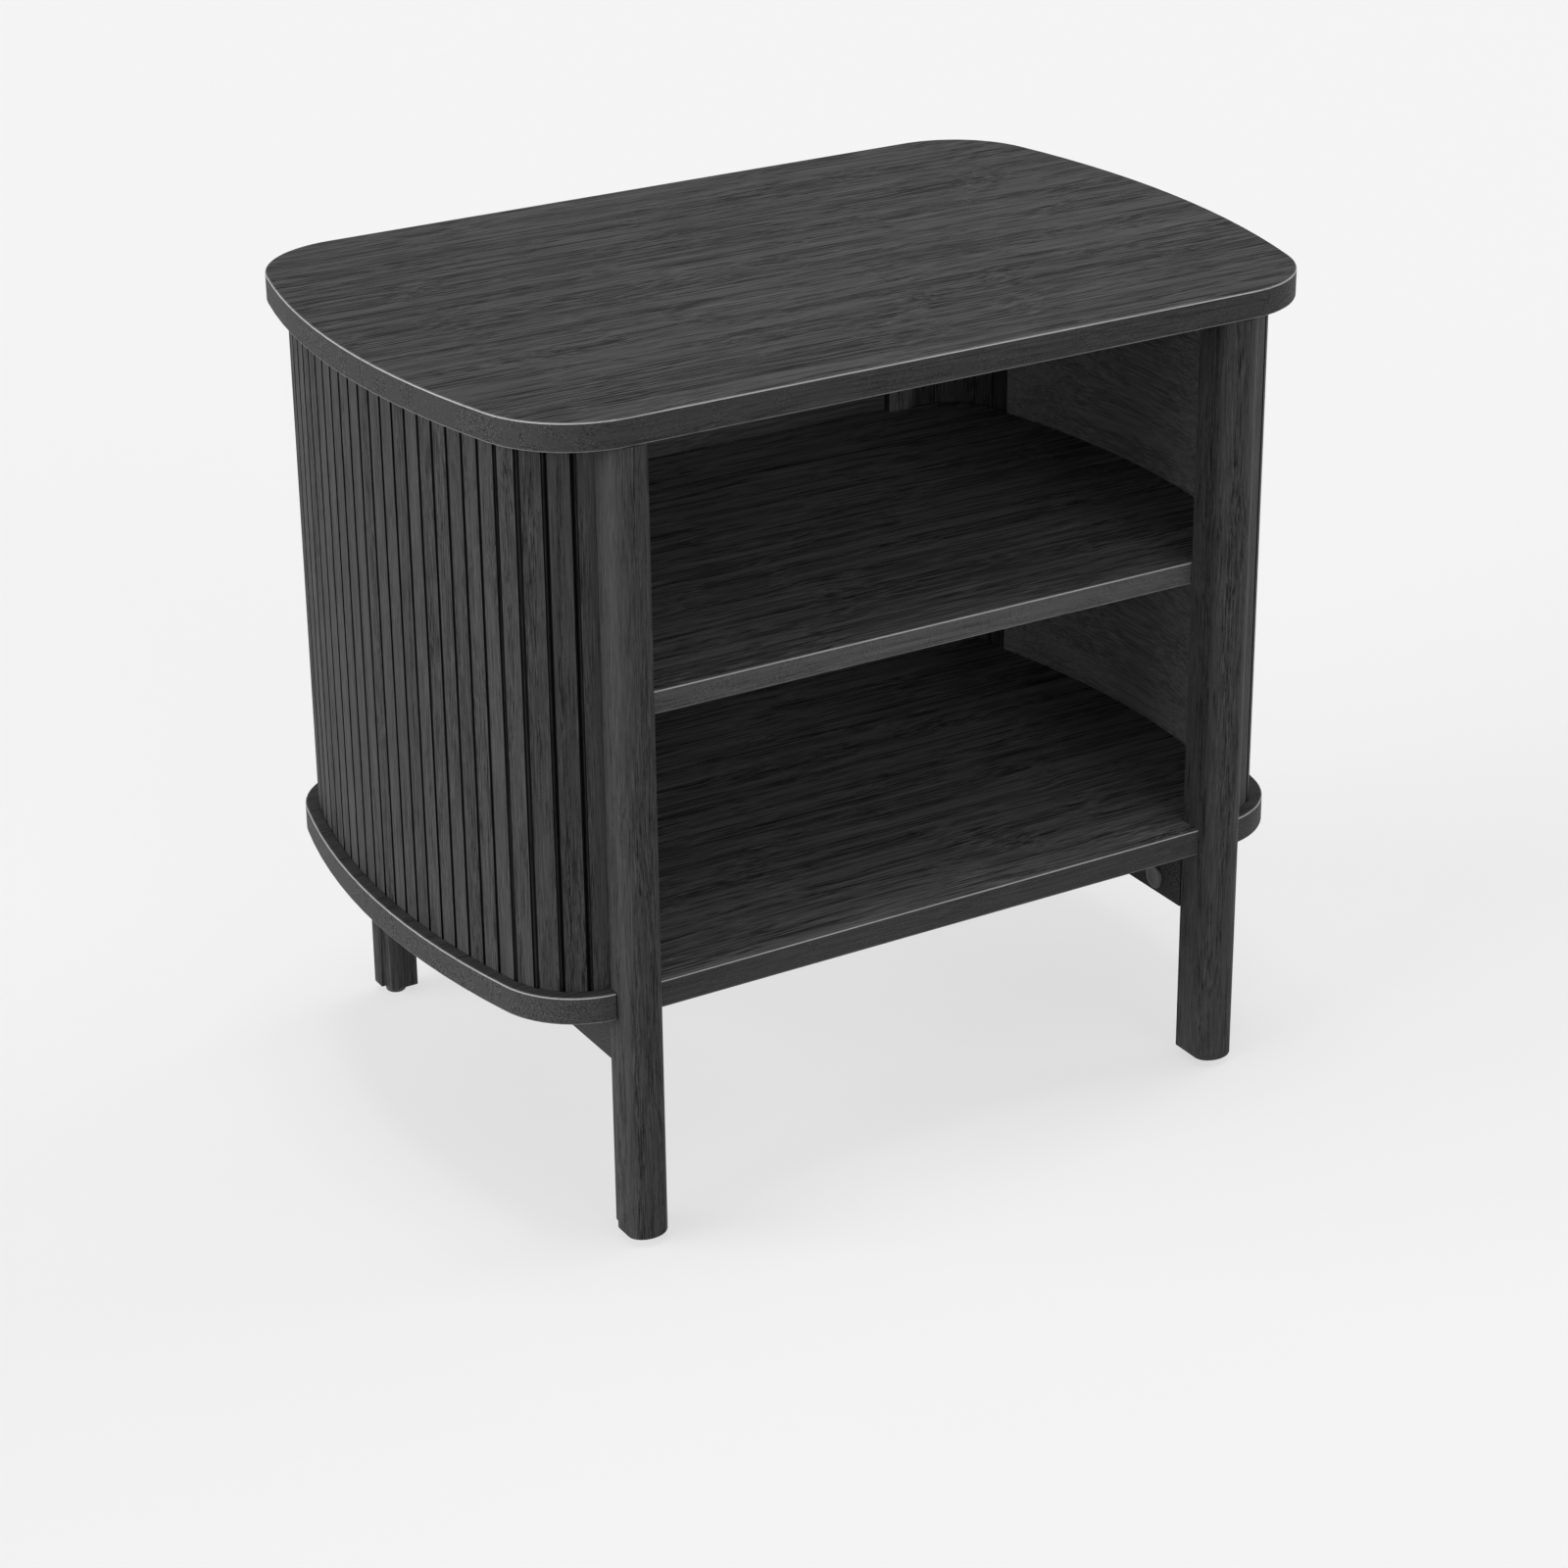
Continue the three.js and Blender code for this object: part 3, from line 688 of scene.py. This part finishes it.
def turned(node, finish, slot, inwards, profile, sides):
    """A round piece on its node's middle line. Inwards leads away from the end that shows."""
    low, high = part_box(node)
    start = (low + high) / 2
    for axis, way in enumerate(inwards):
        if way:
            start[axis] = low[axis] if way > 0 else high[axis]
    mesh = bmesh.new()
    points = [mesh.verts.new((radius * MM, 0, depth * MM)) for depth, radius in profile]
    edges = [mesh.edges.new(ends) for ends in zip(points, points[1:])]
    bmesh.ops.spin(
        mesh, geom=points + edges, cent=(0, 0, 0), axis=(0, 0, 1), angle=math.tau,
        steps=sides, use_merge=True,
    )
    bmesh.ops.remove_doubles(mesh, verts=mesh.verts, dist=WELD)
    bmesh.ops.recalc_face_normals(mesh, faces=mesh.faces)
    turn = Vector((0, 0, 1)).rotation_difference(Vector(inwards)).to_matrix().to_4x4()
    bmesh.ops.transform(mesh, matrix=Matrix.Translation(start) @ turn, verts=mesh.verts)
    own(mesh, node + "_turned", finish, slot, node)


def paint(node, finish):
    NODES[node].data.materials.clear()
    NODES[node].data.materials.append(finish)


# Studio

FLOOR_REACH = 30

# Lamps: the way to each from the nightstand, and how wide it looks in degrees
LAMPS = {
    "back_left": ((-0.93, 0.37, 0.21), 40),
    "left": ((-1.0, -0.09, 0.21), 35),
    "right": ((1.0, 0.0, 0.14), 50),
    "front": ((0.09, -1.0, 0.14), 40),
    "front_left": ((-0.42, -1.0, 0.12), 50),
    "top": ((0.0, 0.0, 1.0), 18),
}

# Camera: lens and sensor in mm, shifts in frames, stand and reach in metres, turn in degrees
CAMERA_LENS = 88.578
CAMERA_SENSOR = 36
CAMERA_SHIFT = (-0.03125, -0.0625)
CAMERA_STAND = (-1.1709, -1.9931, 1.2473)
CAMERA_TURN = (66.6664, 0.2906, -31.3322)
CAMERA_REACH = 100


def add_floor(studio):
    """A pale floor, which glows a little to the eye and throws back less light than it shows."""
    mesh = bmesh.new()
    bmesh.ops.create_grid(mesh, x_segments=1, y_segments=1, size=FLOOR_REACH)
    shader = new_finish("Floor")
    seen = shader.seen()
    colour = shader.blend(seen, shade(studio.bounce), shade(studio.floor))
    lit = shader.node("ShaderNodeBsdfDiffuse", {}, {"Color": colour})
    glow = shader.node("ShaderNodeEmission", {}, {"Color": shade(studio.glow)})
    finish = shader.show(shader.mixed(seen * studio.glow_share, lit, glow))
    floor = placed(mesh, "floor", finish)


def light_room(scene, studio):
    scene.world = bpy.data.worlds.new("Studio")
    scene.world.use_nodes = True
    shader = Shader(scene.world, "ShaderNodeOutputWorld")
    dome = shader.node("ShaderNodeBackground", {}, {"Strength": studio.dome})
    shown = shader.node("ShaderNodeBackground", {}, {"Color": shade(studio.backdrop)})
    shader.show(shader.mixed(shader.seen(), dome, shown))
    for name, (towards, spread) in LAMPS.items():
        lamp = bpy.data.lights.new(name + "_lamp", "SUN")
        lamp.energy = getattr(studio, name)
        lamp.angle = math.radians(spread)
        holder = bpy.data.objects.new(name + "_lamp", lamp)
        holder.rotation_euler = Vector(towards).to_track_quat("Z", "Y").to_euler()
        scene.collection.objects.link(holder)


def add_camera(scene):
    camera = bpy.data.cameras.new("camera")
    camera.lens = CAMERA_LENS
    camera.sensor_width = CAMERA_SENSOR
    camera.shift_x, camera.shift_y = CAMERA_SHIFT
    camera.clip_end = CAMERA_REACH
    holder = bpy.data.objects.new("camera", camera)
    holder.location = CAMERA_STAND
    holder.rotation_euler = [math.radians(turn) for turn in CAMERA_TURN]
    scene.collection.objects.link(holder)
    scene.camera = holder
    scene.view_settings.view_transform = "Standard"


# Operators

class NIGHTSTAND_OT_boards(bpy.types.Operator):
    """Finish the top board, the shelf and the base board, whose grain runs from side to side"""

    bl_idname = "nightstand.boards"
    bl_label = "Boards"

    def execute(self, context):
        wood = context.scene.nightstand_wood
        look = {"grain": "X", "calm": 0.6}
        # The shelf's stain is painted paler all over, and the broad flat faces of the shelf, the
        # base and the top paler still: painted light in the bays and on the top
        shelf = stained_wood("Stained shelf", wood, tone=1.9, painted_light_factor=1.7, strength=0.8, **look)
        base = stained_wood("Stained base", wood, tone=1.1, painted_light_factor=2.9, strength=0.8, **look)
        top = stained_wood("Stained top", wood, painted_light_factor=1.13, **look)
        # The last number is each board's share of the painted highlight on its eased edges
        for node, finish, painted_edge_share in (
            ("top_board", top, 0.5), ("middle_shelf", shelf, 0.5), ("base_board", base, 0.45),
        ):
            finished(node, finish, "stained_wood", mark_board, painted_edge_share)
        return {"FINISHED"}


class NIGHTSTAND_OT_slatted_sides(bpy.types.Operator):
    """Finish the slatted sides, with a grain of its own in every slat"""

    bl_idname = "nightstand.slatted_sides"
    bl_label = "Slatted sides"

    def execute(self, context):
        wood = context.scene.nightstand_wood
        # Painted shade in the joints between the slats, near black on their chamfers and rims
        painted_joint_shade = shade(wood.stain, 0.05)
        slats = stained_wood(
            "Stained slats", wood, "Z", tone=0.92, edge=painted_joint_shade, strength=0.5, length=0.3,
        )
        for side in SIDES:
            finished(f"{side}_slatted_side", slats, "stained_wood", mark_slats)
        return {"FINISHED"}


class NIGHTSTAND_OT_frame(bpy.types.Operator):
    """Finish the legs and the side rails"""

    bl_idname = "nightstand.frame"
    bl_label = "Legs and rails"

    def execute(self, context):
        wood = context.scene.nightstand_wood
        look = {"grain": "Z", "tone": 1.1, "strength": 0.42, "length": 0.25}
        leg = stained_wood("Stained leg", wood, **look)
        rail = stained_wood("Stained rail", wood, "Y", tone=0.8, calm=0.6)
        # The rear legs' faces that look into the bays are painted paler: painted light in the bays
        rear_leg = stained_wood("Stained rear leg", wood, painted_light_factor=2.6, **look)
        for side, inwards in zip(SIDES, (1, -1)):
            finished(f"front_{side}_leg", leg, "stained_wood")
            finished(f"rear_{side}_leg", rear_leg, "stained_wood", mark_bay, inwards)
        # The rails' eased edges get a share of the painted highlight
        for side in SIDES:
            finished(f"{side}_side_rail", rail, "stained_wood", mark_board, RAIL_HIGHLIGHT)
        return {"FINISHED"}


class NIGHTSTAND_OT_inner_sheets(bpy.types.Operator):
    """Finish the bent linings and the back panel"""

    bl_idname = "nightstand.inner_sheets"
    bl_label = "Linings and back panel"

    def execute(self, context):
        inner = context.scene.nightstand_inner
        wood = context.scene.nightstand_wood
        lining = inner_sheet("Lining", inner.lining, inner, wood, "Y")
        panel = inner_sheet("Back panel", inner.panel, inner, wood, "X")
        for node, finish, outwards in (
            ("left_side_lining", lining, (-1, 0, 0)), ("right_side_lining", lining, (1, 0, 0)),
            ("back_panel", panel, (0, 1, 0)),
        ):
            finished(node, finish, "inner_wood", mark_inside, outwards)
        return {"FINISHED"}


class NIGHTSTAND_OT_fittings(bpy.types.Operator):
    """Finish the glides, caps, cams, bolts, screws and dowels"""

    bl_idname = "nightstand.fittings"
    bl_label = "Fittings"

    def execute(self, context):
        fittings = context.scene.nightstand_fittings
        sides = fittings.round_sides
        plastic = gritty(
            "Moulded plastic", fittings.plastic, pale=1.3, scale=3.5, detail=3, cloud_scale=0.25,
            roughness=0.45, depth=0.03 * MM, strength=0.4,
        )
        zinc = gritty(
            "Zinc plate", fittings.zinc, pale=1.1, scale=2.2, detail=4, cloud_scale=0.3,
            roughness=0.35, depth=0.02 * MM, strength=0.3, metal=1.0,
        )
        beech = beech_wood("Beech", context.scene.nightstand_inner.beech)
        for node in NODES:
            if node.endswith("_glide"):
                turned(node, plastic, "black_plastic", (0, 0, 1), GLIDE, sides)
            elif node.endswith("_cam_cap"):
                outwards = (1, 0, 0) if "right" in node else (-1, 0, 0)
                turned(node, plastic, "black_plastic", outwards, CAP, sides)
            elif node.endswith("_screw"):
                turned(node, zinc, "zinc_steel", (0, -1, 0), SCREW, sides)
            elif node.endswith(("_bolt", "_cam")):
                paint(node, zinc)
            elif node.endswith("_dowel"):
                paint(node, beech)
        return {"FINISHED"}


class NIGHTSTAND_OT_studio(bpy.types.Operator):
    """Set up the floor, the light and the camera"""

    bl_idname = "nightstand.studio"
    bl_label = "Studio"

    def execute(self, context):
        studio = context.scene.nightstand_studio
        add_floor(studio)
        light_room(context.scene, studio)
        add_camera(context.scene)
        return {"FINISHED"}


OPERATORS = (
    NIGHTSTAND_OT_boards,
    NIGHTSTAND_OT_slatted_sides,
    NIGHTSTAND_OT_frame,
    NIGHTSTAND_OT_inner_sheets,
    NIGHTSTAND_OT_fittings,
    NIGHTSTAND_OT_studio,
)


# Panel and registration

class NIGHTSTAND_PT_panel(bpy.types.Panel):
    bl_idname = "NIGHTSTAND_PT_panel"
    bl_label = "Nightstand"
    bl_space_type = "VIEW_3D"
    bl_region_type = "UI"
    bl_category = "Nightstand"

    def draw(self, context):
        for operator in OPERATORS:
            self.layout.operator(operator.bl_idname)
        for name, group in GROUPS.items():
            box = self.layout.box()
            for setting in group.__annotations__:
                box.prop(getattr(context.scene, name), setting)


CLASSES = (*GROUPS.values(), *OPERATORS, NIGHTSTAND_PT_panel)


def register():
    for item in CLASSES:
        bpy.utils.register_class(item)
    for name, group in GROUPS.items():
        setattr(bpy.types.Scene, name, PointerProperty(type=group))


def unregister():
    for name in GROUPS:
        delattr(bpy.types.Scene, name)
    for item in reversed(CLASSES):
        bpy.utils.unregister_class(item)


def main():
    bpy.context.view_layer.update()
    register()
    bpy.ops.nightstand.boards()
    bpy.ops.nightstand.slatted_sides()
    bpy.ops.nightstand.frame()
    bpy.ops.nightstand.inner_sheets()
    bpy.ops.nightstand.fittings()
    bpy.ops.nightstand.studio()
    bpy.context.view_layer.update()


if __name__ == "__main__":
    main()
